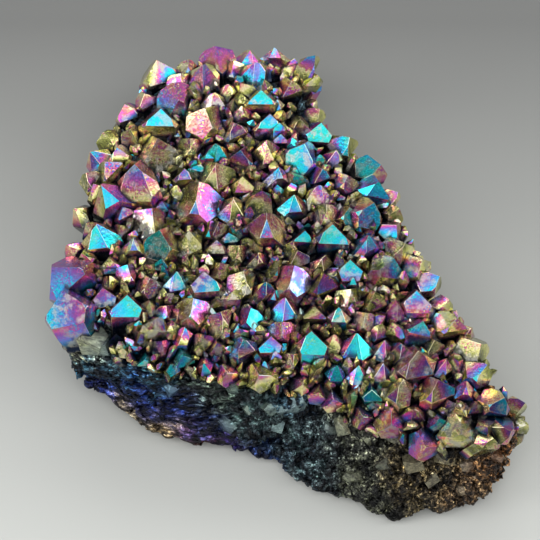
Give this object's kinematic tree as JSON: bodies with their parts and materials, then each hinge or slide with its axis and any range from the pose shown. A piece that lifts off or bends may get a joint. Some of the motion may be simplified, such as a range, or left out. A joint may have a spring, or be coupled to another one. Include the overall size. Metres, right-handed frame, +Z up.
{
  "type": "amethyst crystal cluster",
  "caption": "Broken slab of grey-brown matrix stone with a dense crust of six-sided quartz crystals under a metallic rainbow coating; it lies on its flat underside.",
  "frame": {"origin": "a point on the flat face of the underside, near the middle of the slab's outline", "axes": "+Z up, out of the crystal crust; -Y towards the broken stone wall without crystals; +X to the right of someone who looks at that wall"},
  "size_m": [0.1456, 0.1492, 0.039],
  "materials": {
    "coated_crystal_and_stone": "metallic rainbow film on crystal faces, from olive gold through magenta and violet to cyan; steel blue to rusty brown on the rough stone"
  },
  "bodies": {
    "root": {"amethyst_cluster": "coated_crystal_and_stone"}
  },
  "joints": []
}
